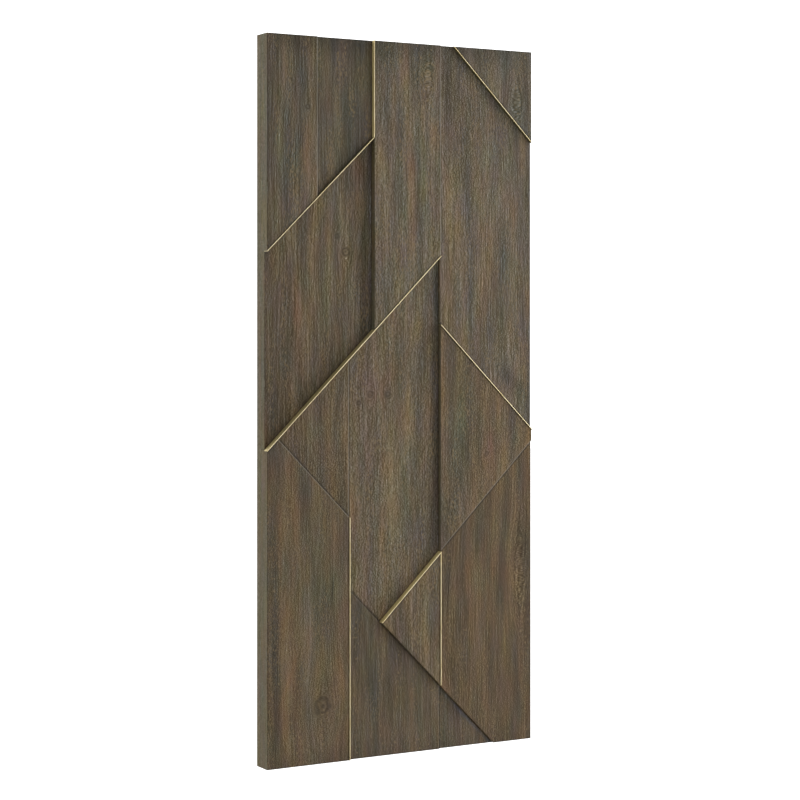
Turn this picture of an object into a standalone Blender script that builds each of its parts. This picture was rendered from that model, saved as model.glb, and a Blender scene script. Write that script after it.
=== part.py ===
"""A wall panel of wooden planks at different levels, with brass strips in eight of their joints.

Every size on the front is measured as x from the panel's left edge and z from its bottom edge, and a
level is a distance in front of the wall. The part's own frame has its origin on the wall, behind the
middle of the panel, with the front facing -Y and +Z up.
"""

import bmesh
import bpy
from mathutils import Vector

# Overall size of the front
PANEL_WIDTH = 0.6096
PANEL_HEIGHT = 1.4224

# Backing board that the planks are glued to
BOARD_THICKNESS = 0.020
BOARD_ROUNDING = 0.004

# Recess in the board's back, undercut at its upper edge to hook over a cleat on the wall
RECESS_WIDTH = 0.400
RECESS_HEIGHT = 0.060
RECESS_DEPTH = 0.012
RECESS_BELOW_TOP = 0.150

# Brass strips, flat bar on edge, each in a rebate along one side of a joint
STRIP_THICKNESS = 0.0016
STRIP_DEPTH = 0.015
STRIP_PROUD = 0.0013
CORNER_STRIP_PROUD = 0.0008
RIGHT_STRIP_PROUD = 0.002

# Clearances, and the small chamfer along the front edges of the planks
JOINT_GAP = 0.0003
GLUE_GAP = 0.0003
STRIP_FIT = 0.0003
PLANK_CHAMFER = 0.0006

# Upright joints
TOP_SEAM_X = 0.1102
TOP_UPRIGHT_X = 0.2366
RIGHT_UPRIGHT_X = 0.3902
LOW_UPRIGHT_X = 0.1818

# Slanted joints, each by where it meets an edge, an upright or another joint
LEFT_RISE_EDGE_Z = 0.9995
LEFT_RISE_TOP_Z = 1.2293
LONG_RISE_EDGE_Z = 0.617
LONG_RISE_TOP_Z = 0.9983
CORNER_FALL_TOP_X = 0.4206
CORNER_FALL_EDGE_Z = 1.2341
RIGHT_FALL_TOP_Z = 0.8595
RIGHT_FALL_EDGE_Z = 0.6422
LEFT_FALL_TOP_X = 0.0225
LEFT_FALL_FOOT_Z = 0.4779
LOW_FALL_TOP_Z = 0.3369
LOW_FALL_FOOT_X = 0.5188
TRIANGLE_CORNER_X = 0.2525
TRIANGLE_TOP_Z = 0.4006
RIGHT_RISE_EDGE_Z = 0.6182

# Levels of the planks' fronts
PLANK_TOP_LEFT_LEVEL = 0.048
PLANK_TOP_SECOND_LEVEL = 0.0425
PLANK_LEFT_UPPER_LEVEL = 0.0365
PLANK_CENTRE_UPPER_LEVEL = 0.049
PLANK_RIGHT_UPPER_LEVEL = 0.0425
CORNER_TOP_RIGHT_LEVEL = 0.047
PLANK_RIGHT_MIDDLE_LEVEL = 0.0475
PLANK_MIDDLE_LEVEL = 0.039
TRIANGLE_LEFT_LEVEL = 0.0435
PLANK_BOTTOM_LEFT_LEVEL = 0.0485
PLANK_BOTTOM_CENTRE_LEVEL = 0.042
CORNER_BOTTOM_LEVEL = 0.038
TRIANGLE_CENTRE_LEVEL = 0.0495
PLANK_BOTTOM_RIGHT_LEVEL = 0.044

# How far a cutter runs out of the wood that it cuts
CUTTER_REACH = 0.005


class Joint:
    """A straight line across the front between two points (x, z).

    It is drawn rightwards, or downwards if it is upright, so that its upper side is its right side too.
    """

    def __init__(self, start, end):
        self.start = Vector(start)
        self.end = Vector(end)
        along = self.end - self.start
        self.across = Vector((-along.y, along.x)).normalized()

    def height_at(self, x):
        share = (x - self.start.x) / (self.end.x - self.start.x)
        return self.start.y + share * (self.end.y - self.start.y)

    def above(self, inset=JOINT_GAP / 2):
        """The cut that keeps what lies more than inset above this line, as a point and a direction."""
        return self.start + inset * self.across, self.across

    def below(self, inset=JOINT_GAP / 2):
        return self.start - inset * self.across, -self.across

    right_of = above
    left_of = below


def upright(x):
    return Joint((x, PANEL_HEIGHT), (x, 0))


top_seam = upright(TOP_SEAM_X)
top_upright = upright(TOP_UPRIGHT_X)
right_upright = upright(RIGHT_UPRIGHT_X)
low_upright = upright(LOW_UPRIGHT_X)

left_rise = Joint((0, LEFT_RISE_EDGE_Z), (TOP_UPRIGHT_X, LEFT_RISE_TOP_Z))
long_rise = Joint((0, LONG_RISE_EDGE_Z), (RIGHT_UPRIGHT_X, LONG_RISE_TOP_Z))
corner_fall = Joint((CORNER_FALL_TOP_X, PANEL_HEIGHT), (PANEL_WIDTH, CORNER_FALL_EDGE_Z))
right_fall = Joint((RIGHT_UPRIGHT_X, RIGHT_FALL_TOP_Z), (PANEL_WIDTH, RIGHT_FALL_EDGE_Z))
left_fall = Joint(
    (LEFT_FALL_TOP_X, long_rise.height_at(LEFT_FALL_TOP_X)), (LOW_UPRIGHT_X, LEFT_FALL_FOOT_Z)
)
low_fall = Joint((LOW_UPRIGHT_X, LOW_FALL_TOP_Z), (LOW_FALL_FOOT_X, 0))
triangle_rise = Joint(
    (TRIANGLE_CORNER_X, low_fall.height_at(TRIANGLE_CORNER_X)), (RIGHT_UPRIGHT_X, TRIANGLE_TOP_Z)
)
right_rise = Joint((RIGHT_UPRIGHT_X, TRIANGLE_TOP_Z), (PANEL_WIDTH, RIGHT_RISE_EDGE_Z))


def material(name, colour, roughness, metallic=0.0):
    made = bpy.data.materials.new(name)
    made.use_nodes = True
    shader = made.node_tree.nodes["Principled BSDF"]
    shader.inputs["Base Color"].default_value = (*colour, 1.0)
    shader.inputs["Roughness"].default_value = roughness
    shader.inputs["Metallic"].default_value = metallic
    return made


def object_from(bm, name, finish, level):
    """An object with its mesh measured from the panel's lower left corner, at a level off the wall."""
    bmesh.ops.recalc_face_normals(bm, faces=bm.faces[:])
    mesh = bpy.data.meshes.new(name)
    bm.to_mesh(mesh)
    bm.free()
    made = bpy.data.objects.new(name, mesh)
    if finish:
        mesh.materials.append(finish)
    made.parent = panel
    made.location = (-PANEL_WIDTH / 2, -level, -PANEL_HEIGHT / 2)
    return made


def cut_outline(bm, cuts, margin=0.0):
    """A flat face of the panel's outline, grown by margin and kept inside every cut."""
    low, right, top = -margin, PANEL_WIDTH + margin, PANEL_HEIGHT + margin
    corners = [(low, low), (right, low), (right, top), (low, top)]
    bm.faces.new([bm.verts.new((x, 0, z)) for x, z in corners])
    for point, keep in cuts:
        bmesh.ops.bisect_plane(
            bm,
            geom=bm.verts[:] + bm.edges[:] + bm.faces[:],
            plane_co=(point.x, 0, point.y),
            plane_no=(keep.x, 0, keep.y),
            clear_inner=True,
        )


def extrude(bm, thickness):
    """Thickens the flat face towards the front, and returns the edges around the new front face."""
    grown = bmesh.ops.extrude_face_region(bm, geom=bm.faces[:])["geom"]
    front = [part for part in grown if isinstance(part, bmesh.types.BMVert)]
    bmesh.ops.translate(bm, verts=front, vec=(0, -thickness, 0))
    return [part for part in grown if isinstance(part, bmesh.types.BMEdge)]


def plank(name, level, *cuts):
    back = BOARD_THICKNESS + GLUE_GAP
    bm = bmesh.new()
    cut_outline(bm, cuts)
    front_edges = extrude(bm, level - back)
    bmesh.ops.bevel(bm, geom=front_edges, offset=PLANK_CHAMFER, segments=1, affect="EDGES")
    made = object_from(bm, name, weathered_wood, back)
    planks.objects.link(made)
    routed = made.modifiers.new("rebates", "BOOLEAN")
    routed.operand_type = "COLLECTION"
    routed.collection = rebates
    routed.solver = "EXACT"


def bar(joint, side, near, far, ends):
    """The cuts around a bar on one side of a joint, between two distances from it."""
    if side == "above":
        return [joint.above(near), joint.below(-far), *ends]
    return [joint.below(near), joint.above(-far), *ends]


def strip(name, joint, side, level, ends=()):
    """A brass strip on one side of a joint, and the cutter of its rebate. Its ends are cuts with insets."""
    near = JOINT_GAP / 2
    far = near + STRIP_THICKNESS
    back = level - STRIP_DEPTH
    bm = bmesh.new()
    cut_outline(bm, bar(joint, side, near, far, [keep(inset) for keep, inset in ends]))
    extrude(bm, STRIP_DEPTH)
    strips.objects.link(object_from(bm, name, brushed_brass, back))

    bm = bmesh.new()
    rebate_ends = [keep(inset - STRIP_FIT) for keep, inset in ends]
    cut_outline(bm, bar(joint, side, 0, far + STRIP_FIT, rebate_ends), margin=CUTTER_REACH)
    extrude(bm, STRIP_DEPTH + STRIP_FIT + CUTTER_REACH)
    rebate = object_from(bm, name.replace("strip", "rebate"), None, back - STRIP_FIT)
    rebate.hide_render = True
    rebate.display_type = "WIRE"
    rebates.objects.link(rebate)


def backing_board():
    """The board, with its back edges rounded and the cleat recess cut into its back."""
    bm = bmesh.new()
    cut_outline(bm, [])
    back_edges = bm.edges[:]
    extrude(bm, BOARD_THICKNESS)
    bmesh.ops.bevel(
        bm, geom=back_edges, offset=BOARD_ROUNDING, segments=4, profile=0.5, affect="EDGES"
    )
    board = object_from(bm, "backing_board", board_wood, 0)
    planks.objects.link(board)

    top = PANEL_HEIGHT - RECESS_BELOW_TOP
    bottom = top - RECESS_HEIGHT
    section = [
        (CUTTER_REACH, bottom),
        (CUTTER_REACH, top - CUTTER_REACH),
        (-RECESS_DEPTH, top + RECESS_DEPTH),
        (-RECESS_DEPTH, bottom),
    ]
    bm = bmesh.new()
    left = (PANEL_WIDTH - RECESS_WIDTH) / 2
    bm.faces.new([bm.verts.new((left, y, z)) for y, z in section])
    grown = bmesh.ops.extrude_face_region(bm, geom=bm.faces[:])["geom"]
    far = [part for part in grown if isinstance(part, bmesh.types.BMVert)]
    bmesh.ops.translate(bm, verts=far, vec=(RECESS_WIDTH, 0, 0))
    recess = object_from(bm, "cleat_recess", None, 0)
    recess.hide_render = True
    recess.display_type = "WIRE"
    bpy.context.scene.collection.objects.link(recess)
    routed = board.modifiers.new("cleat recess", "BOOLEAN")
    routed.object = recess
    routed.solver = "EXACT"


for old in list(bpy.data.objects):
    bpy.data.objects.remove(old, do_unlink=True)

weathered_wood = material("weathered wood", (0.105, 0.085, 0.065), 0.6)
board_wood = material("board wood", (0.12, 0.105, 0.08), 0.7)
brushed_brass = material("brushed brass", (0.62, 0.52, 0.34), 0.35, metallic=1.0)

panel = bpy.data.objects.new("wall_panel", None)
bpy.context.scene.collection.objects.link(panel)
planks, strips, rebates = (bpy.data.collections.new(name) for name in ("planks", "strips", "rebates"))
for collection in (planks, strips, rebates):
    bpy.context.scene.collection.children.link(collection)

# Brass strips. Each trims the edge of its highest plank, and one that meets another stops beside it.
beside_strip = JOINT_GAP / 2 + STRIP_THICKNESS + STRIP_FIT
strip(
    "strip_left_rise",
    left_rise,
    "above",
    PLANK_TOP_LEFT_LEVEL + STRIP_PROUD,
    [(top_upright.left_of, STRIP_FIT)],
)
strip(
    "strip_long_rise",
    long_rise,
    "below",
    PLANK_CENTRE_UPPER_LEVEL + STRIP_PROUD,
    [(right_upright.left_of, STRIP_FIT)],
)
strip("strip_corner", corner_fall, "above", CORNER_TOP_RIGHT_LEVEL + CORNER_STRIP_PROUD)
strip(
    "strip_right_fall",
    right_fall,
    "below",
    PLANK_RIGHT_MIDDLE_LEVEL + RIGHT_STRIP_PROUD,
    [(right_upright.right_of, STRIP_FIT)],
)
strip(
    "strip_triangle_rise",
    triangle_rise,
    "below",
    TRIANGLE_CENTRE_LEVEL + STRIP_PROUD,
    [(low_fall.above, STRIP_FIT), (right_upright.left_of, STRIP_FIT)],
)
strip(
    "strip_triangle_upright",
    right_upright,
    "below",
    TRIANGLE_CENTRE_LEVEL + STRIP_PROUD,
    [(triangle_rise.below, beside_strip), (low_fall.above, STRIP_FIT)],
)
strip(
    "strip_bottom_upright",
    low_upright,
    "below",
    PLANK_BOTTOM_LEFT_LEVEL + STRIP_PROUD,
    [(left_fall.below, STRIP_FIT)],
)
strip(
    "strip_top_upright",
    top_upright,
    "below",
    PLANK_CENTRE_UPPER_LEVEL + STRIP_PROUD,
    [(left_rise.above, beside_strip)],
)

# Planks above the long rising joint
plank("plank_top_left", PLANK_TOP_LEFT_LEVEL, left_rise.above(), top_seam.left_of())
plank(
    "plank_top_second",
    PLANK_TOP_SECOND_LEVEL,
    left_rise.above(),
    top_seam.right_of(),
    top_upright.left_of(),
)
plank(
    "plank_left_upper",
    PLANK_LEFT_UPPER_LEVEL,
    left_rise.below(),
    long_rise.above(),
    top_upright.left_of(),
)
plank(
    "plank_centre_upper",
    PLANK_CENTRE_UPPER_LEVEL,
    long_rise.above(),
    top_upright.right_of(),
    right_upright.left_of(),
)

# Planks to the right of the right upright
plank(
    "plank_right_upper",
    PLANK_RIGHT_UPPER_LEVEL,
    right_upright.right_of(),
    corner_fall.below(),
    right_fall.above(),
    right_rise.above(),
)
plank("corner_top_right", CORNER_TOP_RIGHT_LEVEL, corner_fall.above())
plank(
    "plank_right_middle",
    PLANK_RIGHT_MIDDLE_LEVEL,
    right_upright.right_of(),
    right_fall.below(),
    right_rise.above(),
)
plank(
    "plank_bottom_right",
    PLANK_BOTTOM_RIGHT_LEVEL,
    right_upright.right_of(),
    right_rise.below(),
    low_fall.above(),
)
plank("corner_bottom", CORNER_BOTTOM_LEVEL, right_upright.right_of(), low_fall.below())

# Planks below the long rising joint
plank(
    "triangle_left",
    TRIANGLE_LEFT_LEVEL,
    long_rise.below(),
    left_fall.above(),
    low_upright.left_of(),
)
plank(
    "plank_bottom_left",
    PLANK_BOTTOM_LEFT_LEVEL,
    long_rise.below(),
    left_fall.below(),
    low_upright.left_of(),
)
plank(
    "plank_middle",
    PLANK_MIDDLE_LEVEL,
    long_rise.below(),
    low_upright.right_of(),
    right_upright.left_of(),
    triangle_rise.above(),
    low_fall.above(),
)
plank(
    "triangle_centre",
    TRIANGLE_CENTRE_LEVEL,
    triangle_rise.below(),
    low_fall.above(),
    right_upright.left_of(),
)
plank(
    "plank_bottom_centre",
    PLANK_BOTTOM_CENTRE_LEVEL,
    low_fall.below(),
    low_upright.right_of(),
    right_upright.left_of(),
)

backing_board()
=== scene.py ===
import math

import bmesh
import bpy
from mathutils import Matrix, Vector, noise
from mathutils.bvhtree import BVHTree


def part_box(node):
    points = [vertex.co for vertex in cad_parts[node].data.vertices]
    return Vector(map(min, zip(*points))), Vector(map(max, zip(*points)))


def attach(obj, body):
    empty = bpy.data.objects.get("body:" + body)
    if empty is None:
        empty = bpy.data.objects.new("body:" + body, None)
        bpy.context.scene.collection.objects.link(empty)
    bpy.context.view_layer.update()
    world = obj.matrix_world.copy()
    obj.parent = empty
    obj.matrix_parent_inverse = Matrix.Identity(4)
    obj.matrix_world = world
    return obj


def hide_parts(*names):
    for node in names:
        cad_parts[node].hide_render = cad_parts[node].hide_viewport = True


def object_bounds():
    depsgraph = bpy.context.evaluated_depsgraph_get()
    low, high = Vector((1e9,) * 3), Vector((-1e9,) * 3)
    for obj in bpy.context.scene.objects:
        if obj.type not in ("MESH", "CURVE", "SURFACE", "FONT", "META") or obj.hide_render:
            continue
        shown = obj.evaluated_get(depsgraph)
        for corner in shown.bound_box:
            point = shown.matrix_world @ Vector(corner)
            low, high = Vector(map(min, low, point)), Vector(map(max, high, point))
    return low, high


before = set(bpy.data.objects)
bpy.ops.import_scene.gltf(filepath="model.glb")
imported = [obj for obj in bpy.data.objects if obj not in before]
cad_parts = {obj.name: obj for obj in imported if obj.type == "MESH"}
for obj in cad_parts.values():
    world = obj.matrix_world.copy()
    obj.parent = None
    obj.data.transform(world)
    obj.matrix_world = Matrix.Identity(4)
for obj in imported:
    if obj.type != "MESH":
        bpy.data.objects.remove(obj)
cad_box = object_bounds()


# Camera and studio
# The panel hangs in a white room. The white surroundings behind it light its sides, and a tall lamp
# at the front right lights the planks and shines in the brass.
camera = bpy.data.objects.new("camera", bpy.data.cameras.new("camera"))
camera.location = (-2.0822, -3.6684, 0.1656)
camera.rotation_euler = (math.radians(90), 0, math.radians(-29.788))
camera.data.lens = 93.985
camera.data.shift_y = -0.1057
bpy.context.scene.collection.objects.link(camera)
bpy.context.scene.camera = camera
bpy.context.scene.view_settings.view_transform = "Standard"


def put(tree, socket, value):
    """Gives a socket a value, or a link where the value is another node's output."""
    if isinstance(value, bpy.types.NodeSocket):
        tree.links.new(value, socket)
    else:
        socket.default_value = value


def node(tree, kind, inputs=(), **settings):
    made = tree.nodes.new("ShaderNode" + kind)
    for key, value in settings.items():
        setattr(made, key, value)
    for key, value in dict(inputs).items():
        put(tree, made.inputs[key], value)
    return made


def calc(tree, operation, *values, clamp=False):
    made = node(tree, "Math", enumerate(values), operation=operation, use_clamp=clamp)
    return made.outputs[0]


def ramp(tree, value, low, high, at_low=0.0, at_high=1.0):
    """A smooth rise from one level to another as the value goes from low to high."""
    inputs = {"Value": value, "From Min": low, "From Max": high, "To Min": at_low, "To Max": at_high}
    return node(tree, "MapRange", inputs, interpolation_type="SMOOTHSTEP").outputs[0]


LEFT_LIGHT = 0.6
RIGHT_LIGHT = 0.4
BACK_LIGHT = 1.9

room = bpy.data.worlds.new("white room")
bpy.context.scene.world = room
room.use_nodes = True
tree = room.node_tree
direction = node(tree, "SeparateXYZ", {0: node(tree, "TexCoord").outputs["Generated"]})
front = ramp(tree, direction.outputs["X"], -0.7, 0.7, LEFT_LIGHT, RIGHT_LIGHT)
level = ramp(tree, direction.outputs["Y"], -0.15, 0.25, front, BACK_LIGHT)
seen = node(tree, "LightPath").outputs["Is Camera Ray"]
put(tree, tree.nodes["Background"].inputs["Color"], (1.0, 1.0, 1.0, 1.0))
put(tree, tree.nodes["Background"].inputs["Strength"], calc(tree, "MAXIMUM", level, seen))


def lamp(name, place, width, height, power):
    """A soft square lamp that faces the middle of the panel."""
    made = bpy.data.objects.new(name, bpy.data.lights.new(name, "AREA"))
    made.data.shape = "RECTANGLE"
    made.data.size = width
    made.data.size_y = height
    made.data.energy = power
    made.location = place
    made.rotation_euler = (-Vector(place)).to_track_quat("-Z", "Y").to_euler()
    bpy.context.scene.collection.objects.link(made)


lamp("side_lamp", (2.6, -0.95, 0.1), width=1.2, height=4.8, power=104)
lamp("front_lamp", (1.6, -2.75, -0.1), width=1.3, height=2.6, power=14)

FLOOR_DROP = 2.4
FLOOR_REACH = 30.0

floor_mesh = bpy.data.meshes.new("floor")
corners = [(-1, -1), (1, -1), (1, 1), (-1, 1)]
floor_points = [(x * FLOOR_REACH, y * FLOOR_REACH, -FLOOR_DROP) for x, y in corners]
floor_mesh.from_pydata(floor_points, [], [(0, 1, 2, 3)])
floor = bpy.data.objects.new("floor", floor_mesh)
bpy.context.scene.collection.objects.link(floor)
floor_paint = bpy.data.materials.new("floor paint")
floor_paint.use_nodes = True
tree = floor_paint.node_tree
shader = tree.nodes["Principled BSDF"]
shader.inputs["Base Color"].default_value = (0.42, 0.42, 0.42, 1.0)
shader.inputs["Roughness"].default_value = 0.9
shader.inputs["Emission Color"].default_value = (1.0, 1.0, 1.0, 1.0)
put(tree, shader.inputs["Emission Strength"], node(tree, "LightPath").outputs["Is Camera Ray"])
floor_mesh.materials.append(floor_paint)


# Weathered wood
# The planks and the board behind them are softwood, wire-brushed along the grain and wiped with a
# grey-brown wash, which sits in the grain and leaves the raised lines warmer.
OLIVE_WASH = (0.110, 0.0955, 0.0665, 1)
BROWN_WASH = (0.130, 0.0845, 0.040, 1)
GREEN_WASH = (0.138, 0.114, 0.0655, 1)
GOLDEN_PORES = (0.26, 0.18, 0.085, 1)
# The last colour is that of the painted highlight on proud arrises.
PAINTED_HIGHLIGHT_COLOUR = (0.25, 0.23, 0.19, 1)


def new_group(name, inputs, outputs):
    """A new node group: its tree, the sockets that it reads and those that it fills."""
    tree = bpy.data.node_groups.new(name, "ShaderNodeTree")
    for socket, kind in inputs.items():
        tree.interface.new_socket(name=socket, in_out="INPUT", socket_type="NodeSocket" + kind)
    for socket, kind in outputs.items():
        tree.interface.new_socket(name=socket, in_out="OUTPUT", socket_type="NodeSocket" + kind)
    return tree, tree.nodes.new("NodeGroupInput").outputs, tree.nodes.new("NodeGroupOutput").inputs


def use(tree, group, inputs):
    """Places a node group in a tree."""
    made = tree.nodes.new("ShaderNodeGroup")
    made.node_tree = group
    for key, value in inputs.items():
        put(tree, made.inputs[key], value)
    return made.outputs


def vector(tree, operation, *values):
    return node(tree, "VectorMath", enumerate(values), operation=operation).outputs[0]


def blend(tree, share, first, second):
    return node(tree, "Mix", {0: share, 6: first, 7: second}, data_type="RGBA").outputs[2]


def grain_noise(tree, place, cell, detail=0.0):
    """Noise in cells, which are given as their width across the grain and their length along it."""
    across, along = cell
    scaled = vector(tree, "MULTIPLY", place, (1 / across, 1 / across, 1 / along))
    return node(tree, "TexNoise", {"Vector": scaled, "Scale": 1.0, "Detail": detail}).outputs[0]


def about_zero(tree, value, span=1.0):
    """A noise from 0 to 1, moved to lie about zero with a given span."""
    return calc(tree, "MULTIPLY_ADD", value, span, -span / 2)


def falloff(tree, squared):
    """A bell curve of a squared distance: one in the middle and nearly nothing two units out."""
    return calc(tree, "EXPONENT", calc(tree, "MULTIPLY", squared, -1.0))


WOBBLE_CELL = (0.009, 0.03)
RING_WOBBLE = 0.5
FIGURE_PUSH = -0.85


def figure_group():
    """A patch drawn out along the grain or leaning: how near its middle is, the rings around it, and
    how far it pushes the grain aside."""
    tree, given, result = new_group(
        "grain figure",
        {"Place": "Vector", "Centre": "Vector", "Size": "Vector", "Lean": "Float", "Spacing": "Float"},
        {"Near": "Float", "Rings": "Float", "Push": "Float"},
    )
    turn = {"Vector": given["Place"], "Center": given["Centre"], "Angle": given["Lean"]}
    turned = node(tree, "VectorRotate", turn, rotation_type="Y_AXIS").outputs[0]
    off = vector(tree, "SUBTRACT", turned, given["Centre"])
    share = vector(tree, "DIVIDE", off, given["Size"])
    radius = node(tree, "VectorMath", {0: share}, operation="LENGTH").outputs["Value"]
    near = falloff(tree, calc(tree, "MULTIPLY", radius, radius))
    wobble = about_zero(tree, grain_noise(tree, given["Place"], WOBBLE_CELL), RING_WOBBLE)
    width = node(tree, "SeparateXYZ", {0: given["Size"]}).outputs["X"]
    ring = calc(tree, "MULTIPLY", calc(tree, "ADD", radius, wobble), width)
    ring = calc(tree, "DIVIDE", ring, given["Spacing"])
    lines = node(tree, "TexNoise", {"W": ring, "Scale": 1.0, "Detail": 1.0}, noise_dimensions="1D")
    aside = node(tree, "SeparateXYZ", {0: off}).outputs["X"]
    put(tree, result["Near"], near)
    put(tree, result["Rings"], calc(tree, "MULTIPLY", about_zero(tree, lines.outputs[0]), near))
    put(tree, result["Push"], calc(tree, "MULTIPLY", calc(tree, "MULTIPLY", aside, near), FIGURE_PUSH))
    return tree


KNOT_PUSH = -0.75
KNOT_RINGS = 9.0
KNOT_CELL = (0.011, 0.011)
KNOT_UNEVEN = 0.5
KNOT_REACH_ACROSS = 0.3
KNOT_REACH_ALONG = 0.1


def knot_group():
    """A knot: how far it pushes the grain aside, the rings of its eye, and where the eye lies."""
    tree, given, result = new_group(
        "knot",
        {"Place": "Vector", "Centre": "Vector", "Radius": "Float"},
        {"Push": "Float", "Rings": "Float", "Eye": "Float"},
    )
    off = vector(tree, "SUBTRACT", given["Place"], given["Centre"])
    off = node(tree, "SeparateXYZ", {0: off}).outputs
    aside = calc(tree, "DIVIDE", off["X"], given["Radius"])
    along = calc(tree, "DIVIDE", off["Z"], given["Radius"])
    aside_squared = calc(tree, "MULTIPLY", aside, aside)
    along_squared = calc(tree, "MULTIPLY", along, along)
    uneven = about_zero(tree, grain_noise(tree, given["Place"], KNOT_CELL), KNOT_UNEVEN)
    radius = calc(tree, "SQRT", calc(tree, "ADD", aside_squared, along_squared))
    radius = calc(tree, "ADD", radius, uneven)
    eye = ramp(tree, radius, 1.3, 1.05)
    rings = calc(tree, "MULTIPLY", calc(tree, "COSINE", calc(tree, "MULTIPLY", radius, KNOT_RINGS)), -1.0)
    wide = calc(tree, "MULTIPLY", aside_squared, KNOT_REACH_ACROSS)
    near = falloff(tree, calc(tree, "MULTIPLY_ADD", along_squared, KNOT_REACH_ALONG, wide))
    put(tree, result["Push"], calc(tree, "MULTIPLY", calc(tree, "MULTIPLY", off["X"], near), KNOT_PUSH))
    put(tree, result["Rings"], calc(tree, "MULTIPLY", rings, eye))
    put(tree, result["Eye"], eye)
    return tree


SWAY_CELL = (0.12, 0.4)
GRAIN_SWAY = 0.03
BAND_CELL = (0.028, 0.24)
STREAK_CELL = (0.006, 0.09)
FIBRE_START = 0.165
FIBRE_LAYERS = (((0.0020, 0.0022), 0.54), ((0.0024, 0.010), 0.25), ((0.0026, 0.06), 0.30))
SHADED_SIDE = (0.0023, 0, 0)
SHADED_SHARE = -0.4
RUST_CELL = (0.024, 0.08)
RUST_SHIFT = (0.7, 0.3, 1.9)
MOSS_CELL = (0.028, 0.08)
MOSS_SHIFT = (1.1, 0.5, 2.3)
FLECK_ZONE = (0.02, 0.12)
FLECK_CELL = (0.0018, 0.006)


def grain_group():
    """The lines of the grain, from broad bands to single fibres, the wash that the bands take, and the
    pale flecks in the pores. The fibres are layers of cells, each with its strength, with a painted
    shade on one side, so that they stand out."""
    tree, given, result = new_group(
        "wood grain",
        {"Place": "Vector", "Shift": "Vector", "Bend": "Float", "Warm": "Float"},
        {
            "Colour": "Color",
            "Bands": "Float",
            "Streaks": "Float",
            "Fibres": "Float",
            "Rust": "Float",
            "Moss": "Float",
            "Flecks": "Float",
        },
    )
    place = vector(tree, "ADD", given["Place"], given["Shift"])
    wave = about_zero(tree, grain_noise(tree, place, SWAY_CELL, 1.0), GRAIN_SWAY)
    sway = node(tree, "CombineXYZ", {"X": calc(tree, "ADD", wave, given["Bend"])}).outputs[0]
    place = vector(tree, "ADD", place, sway)
    bands = about_zero(tree, grain_noise(tree, place, BAND_CELL, 1.0))
    warmth = calc(tree, "ADD", bands, given["Warm"], clamp=True)
    beside = vector(tree, "ADD", place, SHADED_SIDE)
    fibres = FIBRE_START
    for cell, share in FIBRE_LAYERS:
        fibres = calc(tree, "MULTIPLY_ADD", grain_noise(tree, place, cell), share, fibres)
        # A painted shade on one side of each fibre.
        fibres = calc(tree, "MULTIPLY_ADD", grain_noise(tree, beside, cell), SHADED_SHARE * share, fibres)
    rust = grain_noise(tree, vector(tree, "ADD", place, RUST_SHIFT), RUST_CELL, 2.0)
    moss = grain_noise(tree, vector(tree, "ADD", place, MOSS_SHIFT), MOSS_CELL, 2.0)
    zone = ramp(tree, grain_noise(tree, place, FLECK_ZONE), 0.45, 0.65)
    dots = ramp(tree, grain_noise(tree, place, FLECK_CELL), 0.58, 0.72)
    put(tree, result["Colour"], blend(tree, warmth, OLIVE_WASH, BROWN_WASH))
    put(tree, result["Bands"], bands)
    put(tree, result["Streaks"], grain_noise(tree, place, STREAK_CELL, 1.0))
    put(tree, result["Fibres"], fibres)
    put(tree, result["Rust"], about_zero(tree, rust))
    put(tree, result["Moss"], about_zero(tree, moss))
    put(tree, result["Flecks"], calc(tree, "MULTIPLY", zone, dots))
    return tree


RIMS = ("proud_rim", "sunk_rim", "left_of_brass", "right_of_brass")


def joint_shading_group():
    """Painted shade at the foot of a slightly higher neighbour and on the left of the brass, away from
    the lamp; darker along the right of the brass, towards the panel's edges and towards the top; and a
    painted highlight on a proud right-hand arris, where the lamp catches it. It is given how far a
    point lies from each kind of rim."""
    tree, given, result = new_group(
        "joint shading",
        {"Place": "Vector", "Highlight Strength": "Float", **{rim: "Float" for rim in RIMS}},
        {"Dark": "Float", "Painted Highlight": "Float"},
    )
    proud, sunk, left_of_brass, right_of_brass = [given[rim] for rim in RIMS]
    inside = vector(tree, "SUBTRACT", tuple(cad_box[1]), vector(tree, "ABSOLUTE", given["Place"]))
    inside = node(tree, "SeparateXYZ", {0: inside}).outputs
    edge = calc(tree, "MINIMUM", inside["X"], inside["Z"])
    height = node(tree, "SeparateXYZ", {0: given["Place"]}).outputs["Z"]
    below_top = calc(tree, "SUBTRACT", cad_box[1][2], height)
    dark = 0.0
    # Painted shade at low steps and left of the brass; the rest darkens right of the brass, edges and top.
    for gap, near, wide, strength in (
        (sunk, 0.001, 0.005, -0.85),
        (right_of_brass, 0.0018, 0.0055, -0.65),
        (left_of_brass, 0.001, 0.0035, -0.6),
        (edge, 0.0, 0.045, -0.22),
        (below_top, 0.0, 0.06, -0.22),
        (edge, 0.0015, 0.004, -0.2),
    ):
        dark = calc(tree, "ADD", dark, ramp(tree, gap, near, wide, strength, 0.0))
    brass_gap = calc(tree, "MINIMUM", left_of_brass, right_of_brass)
    clear = calc(tree, "MULTIPLY", ramp(tree, brass_gap, 0.002, 0.006), ramp(tree, edge, 0.001, 0.004))
    # Painted highlight where the lamp catches a proud right-hand arris.
    arris_highlight = ramp(tree, proud, 0.001, 0.002, given["Highlight Strength"], 0.0)
    put(tree, result["Dark"], dark)
    put(tree, result["Painted Highlight"], calc(tree, "MULTIPLY", clear, arris_highlight))
    return tree


# The right-hand sides, which face the lamp, take a darker tone than the left-hand ones: painted shade.
LEFT_SIDE_TONE = 0.9
RIGHT_SIDE_TONE = 0.62
RUST_TINT = (0.42, 0.0, -0.7)
MOSS_TINT = (-0.2, 0.2, -0.4)
FIBRE_TINT = (0.88, 0.98, 1.26)
FIBRE_CONTRAST = 3.65
STREAK_CONTRAST = 0.5
BAND_CONTRAST = 1.3
EYE_DARKNESS = -0.32


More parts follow.
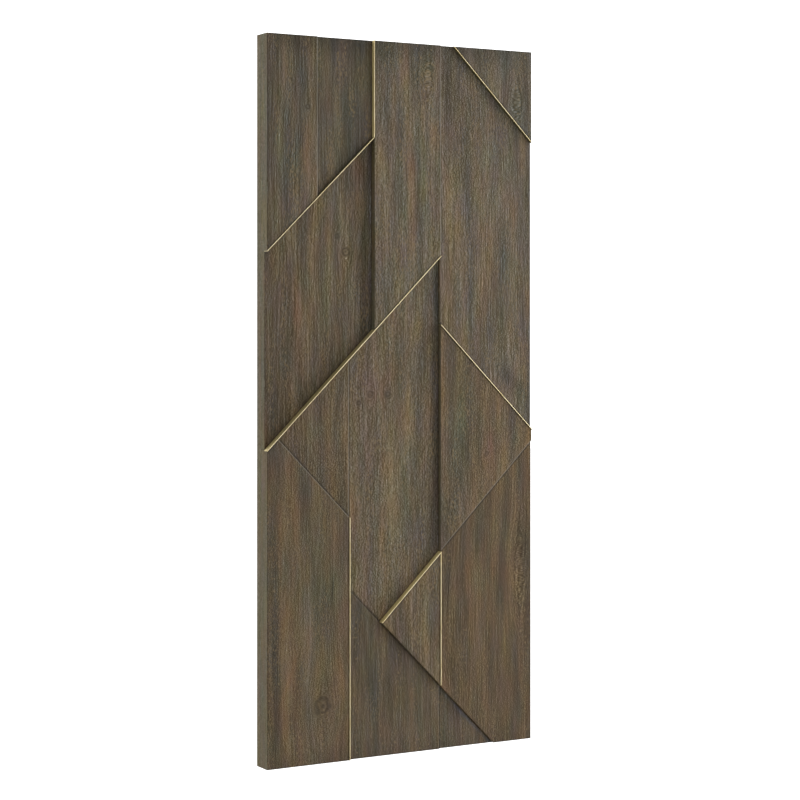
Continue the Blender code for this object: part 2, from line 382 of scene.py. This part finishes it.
def wash_group():
    """The wash as it dries on the grain: warmer or greener in patches, darker in the fibres' hollows
    and the eyes of knots, and plainer on the sawn sides, with a darker tone on the right-hand sides as
    painted shade where they face the lamp. It also lays on the painted shade and painted highlight
    along the joints. The tints are for red, green and blue."""
    tree, given, result = new_group(
        "weathered wash",
        {
            "Colour": "Color",
            "Bands": "Float",
            "Streaks": "Float",
            "Fibres": "Float",
            "Rust": "Float",
            "Moss": "Float",
            "Flecks": "Float",
            "Rings": "Float",
            "Eye": "Float",
            "Dark": "Float",
            "Painted Highlight": "Float",
            "Tone": "Float",
            "Fibre Strength": "Float",
            "Streak Strength": "Float",
            "Fleck Strength": "Float",
        },
        {"Colour": "Color", "Roughness": "Float", "Lines": "Float"},
    )
    facing = node(tree, "SeparateXYZ", {0: node(tree, "NewGeometry").outputs["Normal"]}).outputs["X"]
    side = ramp(tree, calc(tree, "ABSOLUTE", facing), 0.6, 0.9)
    face = calc(tree, "SUBTRACT", 1.0, side)
    mossy = vector(tree, "MULTIPLY_ADD", given["Moss"], MOSS_TINT, (1, 1, 1))
    tint = vector(tree, "MULTIPLY_ADD", given["Rust"], RUST_TINT, mossy)
    colour = vector(tree, "MULTIPLY", blend(tree, side, given["Colour"], GREEN_WASH), tint)

    strength = calc(tree, "MULTIPLY", given["Fibre Strength"], FIBRE_CONTRAST)
    fibres = calc(tree, "MULTIPLY", about_zero(tree, given["Fibres"]), strength)
    strength = calc(tree, "MULTIPLY", given["Streak Strength"], STREAK_CONTRAST)
    fibres = calc(tree, "MULTIPLY_ADD", about_zero(tree, given["Streaks"]), strength, fibres)
    for part, share in ((given["Moss"], 0.8), (given["Eye"], -0.6), (side, -0.55)):
        fibres = calc(tree, "MULTIPLY", fibres, calc(tree, "MULTIPLY_ADD", part, share, 1.0))

    depth = calc(tree, "MULTIPLY_ADD", given["Bands"], BAND_CONTRAST, given["Rings"])
    depth = calc(tree, "MULTIPLY_ADD", given["Eye"], EYE_DARKNESS, depth)
    # Dark brings in the painted shade along the joints.
    depth = calc(tree, "MULTIPLY", calc(tree, "ADD", depth, given["Dark"]), face)
    # Darker on the right-hand sides: painted shade.
    side_tone = ramp(tree, facing, -0.5, 0.5, LEFT_SIDE_TONE, RIGHT_SIDE_TONE)
    side_change = calc(tree, "SUBTRACT", side_tone, given["Tone"])
    tone = calc(tree, "MULTIPLY_ADD", side, side_change, given["Tone"])
    tone = calc(tree, "MULTIPLY", calc(tree, "EXPONENT", depth), tone)
    colour = node(tree, "VectorMath", {0: colour, "Scale": tone}, operation="SCALE").outputs[0]
    tones = [calc(tree, "EXPONENT", calc(tree, "MULTIPLY", fibres, share)) for share in FIBRE_TINT]
    colour = vector(tree, "MULTIPLY", colour, node(tree, "CombineXYZ", enumerate(tones)).outputs[0])
    pores = calc(tree, "MULTIPLY", given["Flecks"], given["Fleck Strength"])
    colour = blend(tree, pores, colour, GOLDEN_PORES)
    # Painted highlight on proud right-hand arrises.
    colour = blend(tree, calc(tree, "MULTIPLY", given["Painted Highlight"], face), colour, PAINTED_HIGHLIGHT_COLOUR)
    put(tree, result["Colour"], colour)
    put(tree, result["Roughness"], ramp(tree, given["Fibres"], 0.3, 0.7, 0.8, 0.6))
    put(tree, result["Lines"], calc(tree, "MULTIPLY_ADD", given["Streaks"], 0.6, given["Fibres"]))
    return tree


grain_figure = figure_group()
grain_knot = knot_group()
wood_grain = grain_group()
joint_shading = joint_shading_group()
weathered_wash = wash_group()

RING_SPACING = 0.004
OVAL_RINGS = 1.5
KNOT_RING_DEPTH = 0.28


def weathered_wood(
    name,
    shift,
    tone=1.0,
    warm=0.5,
    fibre=1.0,
    streak=1.0,
    flecks=0.4,
    arris_highlight=0.45,
    drawn_out=1.0,
    jointed=True,
    ovals=(),
    knots=(),
    stains_and_painted_light=(),
):
    """The wash on one board. Ovals are (x, z, width, length), knots (x, z, radius) and stains
    (x, z, width, length, lean, colour, strength): patches of the wood's own colour, painted shade beside
    steps and strips, and painted fill light. A jointed board has painted shade along some of its joints
    and a painted highlight on its proud right-hand arrises."""
    made = bpy.data.materials.new(name)
    made.use_nodes = True
    tree = made.node_tree
    place = node(tree, "TexCoord").outputs["Object"]

    def figure(x, z, width, length, lean=0.0):
        inputs = {"Place": place, "Centre": (x, 0, z), "Size": (width, 1, length)}
        inputs.update({"Lean": math.radians(lean), "Spacing": RING_SPACING})
        return use(tree, grain_figure, inputs)

    bend = 0.0
    rings = 0.0
    eye = 0.0
    for x, z, width, length in ovals:
        oval = figure(x, z, width, length)
        bend = calc(tree, "ADD", bend, oval["Push"])
        rings = calc(tree, "MULTIPLY_ADD", oval["Rings"], OVAL_RINGS, rings)
    for x, z, radius in knots:
        knot = use(tree, grain_knot, {"Place": place, "Centre": (x, 0, z), "Radius": radius})
        bend = calc(tree, "ADD", bend, knot["Push"])
        rings = calc(tree, "MULTIPLY_ADD", knot["Rings"], KNOT_RING_DEPTH, rings)
        eye = calc(tree, "MAXIMUM", eye, knot["Eye"])
    drawn = vector(tree, "MULTIPLY", place, (1, 1, 1 / drawn_out))
    grain = use(tree, wood_grain, {"Place": drawn, "Shift": shift, "Bend": bend, "Warm": warm})
    colour = grain["Colour"]
    # Stains of the wood's own colour, painted shade and painted fill light.
    for x, z, width, length, lean, patch_colour, strength in stains_and_painted_light:
        share = calc(tree, "MULTIPLY", figure(x, z, width, length, lean)["Near"], strength)
        colour = blend(tree, share, colour, patch_colour)
    gaps = [node(tree, "Attribute", attribute_name=rim).outputs["Fac"] if jointed else 1.0 for rim in RIMS]
    shading = use(tree, joint_shading, {"Place": place, "Highlight Strength": arris_highlight, **dict(zip(RIMS, gaps))})

    inputs = {"Colour": colour, "Rings": rings, "Eye": eye, "Dark": shading["Dark"], "Painted Highlight": shading["Painted Highlight"]}
    inputs.update({"Tone": tone, "Fibre Strength": fibre})
    inputs.update({"Streak Strength": streak, "Fleck Strength": flecks})
    inputs.update({key: grain[key] for key in ("Bands", "Streaks", "Fibres", "Rust", "Moss", "Flecks")})
    wash = use(tree, weathered_wash, inputs)
    shader = tree.nodes["Principled BSDF"]
    put(tree, shader.inputs["Base Color"], wash["Colour"])
    put(tree, shader.inputs["Roughness"], wash["Roughness"])
    shader.inputs["Specular IOR Level"].default_value = 0.25
    bump = node(tree, "Bump", {"Strength": 0.3, "Distance": 0.0005, "Height": wash["Lines"]})
    put(tree, shader.inputs["Normal"], bump.outputs[0])
    return made


# Backing board
# One flat board behind all the planks, glued to their backs. It shows as the rear part of the edges
# and as the whole back, where a recess is routed for the wall cleat.
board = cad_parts["backing_board"]
board.data.materials.clear()
board_wash = weathered_wood(
    "board wash", (3.1, 0.4, 7.7), tone=0.62, warm=0.2, flecks=0.15, drawn_out=2.5, jointed=False
)
board.data.materials.append(board_wash)


# Planks
# Each plank is a softwood board sawn square along its joints, glued to the backing board, with its
# front arrises eased by hand. The pale line on a proud right-hand arris is a painted highlight, where
# the lamp catches it.
FORWARD = Vector((0, -1, 0))
BACKWARD = Vector((0, 1, 0))
STRIP_END = 0.03


def strip_line(name):
    """The two ends of a strip's middle line, seen from the front."""
    points = [vertex.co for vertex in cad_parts[name].data.vertices]
    low = min(points, key=lambda point: point.z)
    ends = [[p for p in points if ((p - low).length < STRIP_END) == near] for near in (True, False)]
    return [sum(group, Vector()) / len(group) for group in ends]


strip_lines = [strip_line(name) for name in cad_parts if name.startswith("strip")]


def gap_to(point, lines, way=0):
    """How far a point lies from the nearest of some lines, seen from the front. A way of -1 leaves
    out the lines that the point isn't left of, and 1 those that it isn't right of."""
    gaps = [1.0]
    for start, end in lines:
        run = (end - start).xz
        off = (point - start).xz
        share = min(max(off.dot(run) / run.length_squared, 0), 1)
        away = off - run * share
        if away.x * way >= 0:
            gaps.append(away.length)
    return min(gaps)


def packed_surface():
    """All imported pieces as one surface, to find how far each stands out."""
    points = []
    faces = []
    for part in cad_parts.values():
        first = len(points)
        points += [vertex.co for vertex in part.data.vertices]
        faces += [[first + index for index in polygon.vertices] for polygon in part.data.polygons]
    return BVHTree.FromPolygons(points, faces)


surface = packed_surface()

RIM_PIECE = 0.01
BESIDE_RIM = 0.003
FLUSH = 0.0005
LOW_STEP = 0.0055
SIDEWAYS = 0.1


def rims(sides, level):
    """The stretches of a plank's right-hand sides where it stands above its neighbour, and those of
    its left-hand sides where its neighbour stands a little above it."""
    proud = []
    sunk = []
    for start, end in sides:
        out = (end - start).cross(FORWARD).normalized()
        count = max(1, round((end - start).length / RIM_PIECE))
        for i in range(count):
            piece = (start.lerp(end, i / count), start.lerp(end, (i + 1) / count))
            beside = (piece[0] + piece[1]) / 2 + out * BESIDE_RIM
            found = surface.ray_cast(Vector((beside.x, -1, beside.z)), BACKWARD)[0]
            if found is None:
                continue
            if out.x > SIDEWAYS and found.y > level + FLUSH:
                proud.append(piece)
            if out.x < -SIDEWAYS and level - LOW_STEP < found.y < level - FLUSH:
                sunk.append(piece)
    return proud, sunk


SAME_PLACE = 1e-5
FLAT_ANGLE = math.radians(1)
FACES_FRONT = -0.999
CUT_SNAP = 1e-6


def packed_shape(name):
    """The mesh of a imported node, welded, with each flat face in one piece."""
    bm = bmesh.new()
    bm.from_mesh(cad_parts[name].data)
    bmesh.ops.remove_doubles(bm, verts=bm.verts[:], dist=SAME_PLACE)
    bmesh.ops.dissolve_limit(bm, angle_limit=FLAT_ANGLE, verts=bm.verts[:], edges=bm.edges[:])
    return bm


def front_faces(bm):
    return [face for face in bm.faces if face.normal.y < FACES_FRONT]


def cut_face(bm, point, normal):
    """Cuts the front face along a plane, so that it can be shaped between its sides."""
    faces = front_faces(bm)
    edges = {edge for face in faces for edge in face.edges}
    verts = {vert for face in faces for vert in face.verts}
    geom = [*faces, *edges, *verts]
    bmesh.ops.bisect_plane(bm, geom=geom, plane_co=point, plane_no=normal, dist=CUT_SNAP)


def steps(low, high, size):
    """Evenly spaced places between two limits, neither of them included."""
    count = max(1, round((high - low) / size))
    return [low + (high - low) * i / count for i in range(1, count)]


RIM_CUTS = (0.0015, 0.005)
FACE_CELL = (0.006, 0.024)


def divide_face(bm, sides):
    """Cuts the front face beside each of its sides, and into cells drawn out along the grain."""
    for start, end in sides:
        across = (end - start).cross(FORWARD).normalized()
        for gap in RIM_CUTS:
            for way in (-1, 1):
                cut_face(bm, start + across * gap * way, across)
    xs = [point.x for side in sides for point in side]
    zs = [point.z for side in sides for point in side]
    for x in steps(min(xs), max(xs), FACE_CELL[0]):
        cut_face(bm, (x, 0, 0), (1, 0, 0))
    for z in steps(min(zs), max(zs), FACE_CELL[1]):
        cut_face(bm, (0, 0, z), (0, 0, 1))


WAVE_DEPTH = 0.00012
WAVE_CELL = (0.016, 0.12)
WAVE_MARGIN = 0.01
WAVE_CHANGE = 900


def plane_face(bm, sides, level):
    """Sinks the front face in shallow waves, as a hand plane leaves it. Each level has its own."""
    for vert in bm.verts:
        if vert.co.y < level + SAME_PLACE:
            inside = min(gap_to(vert.co, sides) / WAVE_MARGIN, 1)
            place = Vector((vert.co.x / WAVE_CELL[0], level * WAVE_CHANGE, vert.co.z / WAVE_CELL[1]))
            vert.co.y += inside * WAVE_DEPTH * (1 + noise.noise(place))


def keep_inside(bm, name):
    """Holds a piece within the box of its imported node, which a bevel can pass at a sharp corner."""
    low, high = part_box(name)
    for vert in bm.verts:
        vert.co = [min(max(value, least), most) for value, least, most in zip(vert.co, low, high)]


def new_piece(name, bm, finish):
    """An object of a finished shape in its material."""
    mesh = bpy.data.meshes.new(name)
    bm.to_mesh(mesh)
    bm.free()
    mesh.materials.append(finish)
    made = bpy.data.objects.new(name, mesh)
    bpy.context.scene.collection.objects.link(made)
    return made


EASING = 0.00025
ARRIS_DEPTH = 0.002
SHARP_ANGLE = math.radians(32)


def finished_plank(name, finish):
    """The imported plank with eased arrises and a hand-planed face that isn't quite flat."""
    bm = packed_shape(name)
    face = max(front_faces(bm), key=lambda f: f.calc_area())
    level = face.calc_center_median().y
    sides = [(loop.vert.co.copy(), loop.link_loop_next.vert.co.copy()) for loop in face.loops]
    proud, sunk = rims(sides, level)
    arris = [edge for edge in bm.edges if max(vert.co.y for vert in edge.verts) < level + ARRIS_DEPTH]
    bmesh.ops.bevel(bm, geom=arris, offset=EASING, segments=2, profile=0.5, affect="EDGES")
    bm.normal_update()
    divide_face(bm, sides)
    plane_face(bm, sides, level)
    keep_inside(bm, name)
    for face in bm.faces:
        face.smooth = True
    for edge in bm.edges:
        if len(edge.link_faces) == 2 and edge.calc_face_angle() > SHARP_ANGLE:
            edge.smooth = False
    made = new_piece(name + "_wood", bm, finish)
    rim_lines = ((proud, 0), (sunk, 0), (strip_lines, -1), (strip_lines, 1))
    for rim, (lines, way) in zip(RIMS, rim_lines):
        gaps = [gap_to(vertex.co, lines, way) for vertex in made.data.vertices]
        made.data.attributes.new(rim, "FLOAT", "POINT").data.foreach_set("value", gaps)
    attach(made, "root")
    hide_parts(name)


# SHADOW is painted shade beside steps and strips. The grey is painted fill light, which lifts the shade
# beside two steps. The other colours are patches in the wood itself, except one pale patch noted below.
SHADOW = (0.036, 0.035, 0.029, 1)
PAINTED_FILL_GREY = (0.140, 0.135, 0.125, 1)
RED_PATCH = (0.15, 0.078, 0.046, 1)
GOLD_PATCH = (0.19, 0.135, 0.065, 1)
PALE_PATCH = (0.135, 0.115, 0.078, 1)
MOSS_PATCH = (0.108, 0.108, 0.054, 1)
RUST_PATCH = (0.165, 0.098, 0.045, 1)

finished_plank(
    "plank_top_left",
    weathered_wood(
        "wash top left",
        (0.0, 0.0, 0.0),
        tone=0.916,
        warm=0.33,
        knots=[(-0.2163, 0.5717, 0.006)],
        stains_and_painted_light=[
            (-0.275, 0.525, 0.008, 0.06, 0, GOLD_PATCH, 0.5),
            (-0.223, 0.468, 0.014, 0.04, 0, GOLD_PATCH, 0.45),
            (-0.262, 0.325, 0.014, 0.03, -45, SHADOW, 0.3),
        ],
    ),
)
finished_plank(
    "plank_top_second",
    weathered_wood(
        "wash top second",
        (1.3, 0.2, 0.7),
        tone=0.768,
        warm=0.24,
        fibre=0.64,
        streak=1.3,
        stains_and_painted_light=[(-0.154, 0.425, 0.012, 0.03, -45, SHADOW, 0.35)],
    ),
)
finished_plank(
    "plank_left_upper",
    weathered_wood(
        "wash left upper",
        (2.1, 0.1, 1.9),
        tone=0.848,
        warm=0.53,
        fibre=0.93,
        knots=[(-0.1265, 0.2912, 0.010), (-0.1462, 0.3221, 0.006)],
        stains_and_painted_light=[
            (-0.14, 0.36, 0.03, 0.12, 0, PALE_PATCH, 0.35),
            (-0.237, 0.19, 0.012, 0.07, 0, RED_PATCH, 0.5),
            (-0.212, 0.17, 0.014, 0.11, 0, GOLD_PATCH, 0.45),
            (-0.173, 0.19, 0.018, 0.06, 0, MOSS_PATCH, 0.4),
            (-0.10, 0.46, 0.02, 0.06, 0, RED_PATCH, 0.3),
            # Painted fill light in the shade at the foot of the step on this plank's right.
            (-0.071, 0.30, 0.006, 0.20, 0, PAINTED_FILL_GREY, 0.5),
            (-0.245, 0.262, 0.014, 0.03, 0, SHADOW, 0.25),
            # Painted fill light over the shade beside that step.
            (-0.105, 0.19, 0.020, 0.06, 0, PALE_PATCH, 0.4),
        ],
    ),
)
finished_plank(
    "plank_centre_upper",
    weathered_wood(
        "wash centre upper",
        (3.7, 0.3, 2.3),
        tone=1.011,
        warm=0.30,
        fibre=0.86,
        ovals=[(0.0546, 0.6414, 0.016, 0.045)],
        stains_and_painted_light=[
            (0.017, 0.42, 0.010, 0.09, 0, RUST_PATCH, 0.6),
            (0.045, 0.45, 0.010, 0.07, 0, MOSS_PATCH, 0.5),
        ],
    ),
)
finished_plank(
    "plank_right_upper",
    weathered_wood(
        "wash right upper",
        (4.9, 0.5, 3.1),
        tone=0.919,
        warm=0.38,
        fibre=1.12,
        stains_and_painted_light=[
            (0.204, 0.611, 0.010, 0.12, 45, SHADOW, 0.5),
            (0.1126, 0.32, 0.003, 0.12, 0, GOLD_PATCH, 0.5),
            (0.106, 0.63, 0.018, 0.08, 0, SHADOW, 0.45),
            (0.258, 0.03, 0.020, 0.05, 45, SHADOW, 0.6),
            (0.298, 0.07, 0.014, 0.09, 0, SHADOW, 0.35),
            (0.113, 0.245, 0.010, 0.07, 0, SHADOW, 0.3),
            (0.140, 0.38, 0.014, 0.14, 0, PALE_PATCH, 0.4),
            (0.207, 0.27, 0.016, 0.08, 0, RUST_PATCH, 0.5),
        ],
    ),
)
finished_plank(
    "corner_top_right",
    weathered_wood(
        "wash corner",
        (5.3, 0.6, 4.7),
        tone=0.947,
        warm=0.00,
        fibre=0.82,
        ovals=[(0.268, 0.603, 0.022, 0.05)],
    ),
)
finished_plank(
    "plank_right_middle",
    weathered_wood(
        "wash right middle",
        (6.1, 0.7, 5.9),
        tone=0.874,
        warm=0.75,
        fibre=0.9,
        arris_highlight=0.35,
        knots=[(0.1956, -0.1169, 0.005)],
        stains_and_painted_light=[
            (0.131, -0.05, 0.022, 0.10, 0, MOSS_PATCH, 0.6),
            (0.205, -0.10, 0.016, 0.05, 0, RED_PATCH, 0.5),
        ],
    ),
)
finished_plank(
    "plank_bottom_right",
    weathered_wood(
        "wash bottom right",
        (7.7, 0.8, 6.1),
        tone=0.712,
        warm=0.93,
        fibre=0.93,
        ovals=[(0.2784, -0.36, 0.03, 0.12)],
        stains_and_painted_light=[(0.176, -0.43, 0.012, 0.20, 0, GOLD_PATCH, 0.35)],
    ),
)
finished_plank(
    "corner_bottom",
    weathered_wood(
        "wash corner bottom",
        (8.3, 0.9, 7.3),
        tone=0.759,
        warm=0.46,
        fibre=0.75,
        # Painted fill light in the shade at the foot of the step above this plank.
        stains_and_painted_light=[(0.147, -0.6495, 0.004, 0.12, 45, PAINTED_FILL_GREY, 0.7)],
    ),
)
finished_plank(
    "triangle_left",
    weathered_wood(
        "wash triangle left",
        (9.1, 1.1, 8.9),
        tone=0.868,
        warm=0.76,
        fibre=0.92,
        stains_and_painted_light=[(-0.212, -0.06, 0.012, 0.06, 0, GOLD_PATCH, 0.5)],
    ),
)
finished_plank(
    "plank_bottom_left",
    weathered_wood(
        "wash bottom left",
        (10.3, 1.2, 9.7),
        tone=0.876,
        warm=0.66,
        fibre=0.68,
        streak=1.2,
        arris_highlight=0.3,
        knots=[(-0.1843, -0.5978, 0.0205)],
        stains_and_painted_light=[
            (-0.2585, -0.545, 0.004, 0.06, -20, RUST_PATCH, 0.7),
            (-0.240, -0.53, 0.003, 0.05, -14, GOLD_PATCH, 0.45),
            (-0.277, -0.30, 0.005, 0.16, 0, RUST_PATCH, 0.6),
            (-0.240, -0.57, 0.014, 0.10, 8, RUST_PATCH, 0.6),
            (-0.146, -0.57, 0.014, 0.08, 0, RUST_PATCH, 0.5),
            (-0.195, -0.38, 0.035, 0.14, 0, MOSS_PATCH, 0.4),
            (-0.287, -0.52, 0.012, 0.18, 0, SHADOW, 0.5),
            (-0.215, -0.55, 0.016, 0.16, 0, PALE_PATCH, 0.35),
            (-0.266, -0.27, 0.008, 0.12, 0, GOLD_PATCH, 0.35),
            (-0.1615, -0.369, 0.0012, 0.02, -4, SHADOW, 0.8),
        ],
    ),
)
finished_plank(
    "plank_middle",
    weathered_wood(
        "wash middle",
        (11.9, 1.3, 10.1),
        tone=1.010,
        warm=0.49,
        fibre=0.88,
        knots=[(-0.0322, 0.0088, 0.007), (-0.0733, 0.0096, 0.008), (-0.0982, -0.0078, 0.006)],
        stains_and_painted_light=[
            (0.080, -0.02, 0.024, 0.35, 0, SHADOW, 0.6),
            (0.039, -0.367, 0.016, 0.03, 0, SHADOW, 0.35),
            (0.048, -0.29, 0.030, 0.06, 0, SHADOW, 0.45),
            (-0.022, -0.205, 0.016, 0.06, 0, GOLD_PATCH, 0.45),
            (0.084, 0.22, 0.014, 0.08, 0, SHADOW, 0.85),
            (0.066, 0.245, 0.014, 0.035, 0, SHADOW, 0.3),
            (-0.065, 0.03, 0.03, 0.06, 0, RED_PATCH, 0.3),
            (0.058, -0.03, 0.012, 0.14, 0, RUST_PATCH, 0.3),
            (0.0, -0.17, 0.025, 0.10, 0, MOSS_PATCH, 0.3),
            (-0.028, 0.04, 0.014, 0.04, 0, RUST_PATCH, 0.4),
        ],
    ),
)
finished_plank(
    "triangle_centre",
    weathered_wood("wash triangle centre", (12.7, 1.4, 11.3), tone=0.951, warm=0.63, fibre=0.85),
)
finished_plank(
    "plank_bottom_centre",
    weathered_wood(
        "wash bottom centre",
        (13.1, 1.5, 12.9),
        tone=0.792,
        warm=0.57,
        fibre=0.7,
        streak=1.2,
        arris_highlight=0.12,
        stains_and_painted_light=[(-0.106, -0.52, 0.014, 0.22, 0, SHADOW, 0.35)],
    ),
)


# Brass strips
# Flat brass bar on edge in a rebate beside the joint, brushed along its length and a little aged, so
# that it is darker where it meets the wood.
BRIGHT_BRASS = (1.0, 0.89, 0.60, 1)
AGED_BRASS = (0.84, 0.70, 0.40, 1)
GOLDEN_SIDE = (0.92, 0.76, 0.36, 1)
DARK_RIM = (0.20, 0.14, 0.05, 1)
BRUSH_LINES = (20.0, 2500.0, 2500.0)
SIDE_METAL = 0.45


def brass_group():
    """Brass brushed along the bar, golden on its sides and dark along the rims of its front. Its sides
    take a given tone, lower where they are painted in shade. It takes a point's place on the bar: along
    it, into the joint and across from its middle. The brush lines are counted per metre in the same
    three directions."""
    tree, given, result = new_group(
        "brushed brass",
        {"Place": "Vector", "Side Tone": "Float"},
        {"Colour": "Color", "Metal": "Float", "Roughness": "Float", "Lines": "Float"},
    )
    place = given["Place"]
    brushed = vector(tree, "MULTIPLY", place, BRUSH_LINES)
    lines = node(tree, "TexNoise", {"Vector": brushed, "Scale": 1.0, "Detail": 2.0}).outputs[0]
    patches = node(tree, "TexNoise", {"Vector": place, "Scale": 30.0, "Detail": 2.0}).outputs[0]
    facing = node(tree, "SeparateXYZ", {0: node(tree, "NewGeometry").outputs["Normal"]}).outputs["Y"]

    def front_to_side(at_front, at_side):
        return ramp(tree, facing, -0.9, -0.4, at_front, at_side)

    front = front_to_side(1.0, 0.0)
    colour = blend(tree, ramp(tree, patches, 0.4, 0.7), BRIGHT_BRASS, AGED_BRASS)
    colour = blend(tree, front, GOLDEN_SIDE, colour)
    from_middle = calc(tree, "ABSOLUTE", node(tree, "SeparateXYZ", {0: place}).outputs["Z"])
    rim = calc(tree, "MULTIPLY", ramp(tree, from_middle, 0.0003, 0.00055), front)
    colour = blend(tree, rim, colour, DARK_RIM)
    tone = front_to_side(1.0, given["Side Tone"])
    colour = node(tree, "VectorMath", {0: colour, "Scale": tone}, operation="SCALE").outputs[0]
    put(tree, result["Colour"], colour)
    put(tree, result["Metal"], front_to_side(1.0, SIDE_METAL))
    put(tree, result["Roughness"], ramp(tree, lines, 0.3, 0.7, 0.34, 0.5))
    put(tree, result["Lines"], lines)
    return tree


brass_finish = brass_group()


def brushed_brass(name, side_tone):
    made = bpy.data.materials.new(name)
    made.use_nodes = True
    tree = made.node_tree
    place = node(tree, "Attribute", attribute_name="bar").outputs["Vector"]
    brass = use(tree, brass_finish, {"Place": place, "Side Tone": side_tone})
    shader = tree.nodes["Principled BSDF"]
    put(tree, shader.inputs["Base Color"], brass["Colour"])
    put(tree, shader.inputs["Metallic"], brass["Metal"])
    put(tree, shader.inputs["Roughness"], brass["Roughness"])
    bump = node(tree, "Bump", {"Strength": 0.2, "Distance": 0.0002, "Height": brass["Lines"]})
    put(tree, shader.inputs["Normal"], bump.outputs[0])
    return made


EDGE_SOFTENING = 0.00012


def finished_strip(name, finish):
    """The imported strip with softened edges, which keeps each point's place on the bar."""
    bm = packed_shape(name)
    longest = max(bm.edges, key=lambda edge: edge.calc_length())
    along = (longest.verts[1].co - longest.verts[0].co).normalized()
    across = along.cross(BACKWARD)
    middle = sum((vert.co for vert in bm.verts), Vector()) / len(bm.verts)
    bmesh.ops.bevel(bm, geom=bm.edges[:], offset=EDGE_SOFTENING, segments=2, profile=0.5, affect="EDGES")
    keep_inside(bm, name)
    made = new_piece(name + "_brass", bm, finish)
    bar = made.data.attributes.new("bar", "FLOAT_VECTOR", "POINT")
    for vertex in made.data.vertices:
        point = vertex.co
        place = (point.dot(along), point.dot(BACKWARD), (point - middle).dot(across))
        bar.data[vertex.index].vector = place
    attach(made, "root")
    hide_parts(name)


# The lower side tones are painted shade on the sides of these strips.
brass_lit_sides = brushed_brass("brass with lit sides", 1.0)
brass_half_shaded_sides = brushed_brass("brass with half shaded sides", 0.6)
brass_shaded_sides = brushed_brass("brass with shaded sides", 0.25)

finished_strip("strip_triangle_rise", brass_lit_sides)
finished_strip("strip_long_rise", brass_half_shaded_sides)
finished_strip("strip_top_upright", brass_lit_sides)
finished_strip("strip_triangle_upright", brass_half_shaded_sides)
finished_strip("strip_bottom_upright", brass_half_shaded_sides)
finished_strip("strip_left_rise", brass_shaded_sides)
finished_strip("strip_corner", brass_shaded_sides)
finished_strip("strip_right_fall", brass_shaded_sides)
